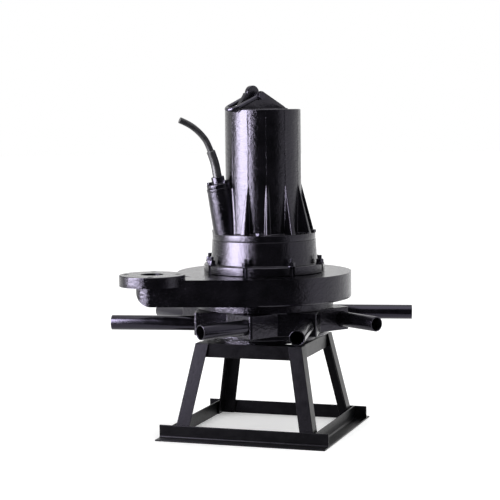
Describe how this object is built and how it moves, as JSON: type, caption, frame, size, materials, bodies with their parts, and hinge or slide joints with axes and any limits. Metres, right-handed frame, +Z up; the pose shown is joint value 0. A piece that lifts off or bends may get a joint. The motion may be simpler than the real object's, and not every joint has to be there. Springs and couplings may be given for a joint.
{
  "type": "submersible aerator",
  "caption": "Submersible centrifugal aerator: ribbed motor over a flat air chamber with a side air inlet, tangential diffuser pipes around a mixing chamber, on an angle iron stand.",
  "frame": {"origin": "on the floor under the motor shaft, at the middle of the base", "axes": "+Z up along the motor shaft, +X along the front base rail to the right, +Y to the rear"},
  "size_m": [0.7862, 0.7862, 1.001],
  "materials": {
    "frame_paint": "satin black enamel over rolled angle iron",
    "pipe_paint": "gloss black enamel over steel pipe",
    "casting_enamel": "gloss black enamel over sand-cast iron",
    "fastener_paint": "black enamel brushed over steel fasteners",
    "gasket_rubber": "matte black rubber",
    "cable_rubber": "semi-matte black rubber",
    "inner_casting": "as cast grey iron",
    "machined_steel": "turned and ground",
    "core_laminations": "stacked electrical steel sheet",
    "copper_winding": "varnished copper wire"
  },
  "bodies": {
    "housing": {"air_chamber": "casting_enamel", "base_rail_front": "frame_paint", "base_rail_left": "frame_paint", "base_rail_rear": "frame_paint", "base_rail_right": "frame_paint", "bearing_bracket": "inner_casting", "bearing_cap": "inner_casting", "cable_sleeve": "cable_rubber", "chamber_gasket": "gasket_rubber", "cover_bolts": "fastener_paint", "cover_gasket": "gasket_rubber", "diffuser_pipe_1": "pipe_paint", "diffuser_pipe_2": "pipe_paint", "diffuser_pipe_3": "pipe_paint", "diffuser_pipe_4": "pipe_paint", "diffuser_pipe_5": "pipe_paint", "diffuser_pipe_6": "pipe_paint", "diffuser_pipe_7": "pipe_paint", "diffuser_pipe_8": "pipe_paint", "drum_gasket": "gasket_rubber", "flange_nuts": "fastener_paint", "flange_studs": "fastener_paint", "flange_washers": "fastener_paint", "gland_bolts": "fastener_paint", "gland_plate": "casting_enamel", "gland_seal": "gasket_rubber", "ledge_screws": "fastener_paint", "leg_front_left": "frame_paint", "leg_front_right": "frame_paint", "leg_rear_left": "frame_paint", "leg_rear_right": "frame_paint", "lifting_lug": "casting_enamel", "lower_bearing": "machined_steel", "lower_seal_seat": "machined_steel", "mixing_chamber": "casting_enamel", "motor_shell": "casting_enamel", "oil_chamber": "casting_enamel", "oil_plug": "fastener_paint", "power_cable": "cable_rubber", "stand_bolts": "fastener_paint", "stator_core": "core_laminations", "stator_windings": "copper_winding", "suction_cover": "casting_enamel", "top_rail_front": "frame_paint", "top_rail_left": "frame_paint", "top_rail_rear": "frame_paint", "top_rail_right": "frame_paint", "upper_bearing": "machined_steel", "upper_seal_seat": "machined_steel"},
    "rotor": {"shaft": "machined_steel", "impeller_key": "machined_steel", "impeller": "inner_casting", "impeller_washer": "machined_steel", "impeller_bolt": "machined_steel", "rotor_core": "core_laminations", "lower_seal_ring": "machined_steel", "upper_seal_ring": "machined_steel"},
    "shackle": {"shackle_bow": "fastener_paint", "shackle_pin": "fastener_paint", "shackle_nut": "fastener_paint"}
  },
  "joints": [
    {"name": "rotor_spin", "type": "hinge", "parent": "housing", "child": "rotor", "pos_m": [0, 0, 0.6], "axis": [0, 0, 1], "continuous": true},
    {"name": "shackle_swing", "type": "hinge", "parent": "housing", "child": "shackle", "pos_m": [-0.01672, -0.02728, 0.972], "axis": [-0.8526, 0.5225, 0], "range_deg": [0, 205]}
  ]
}
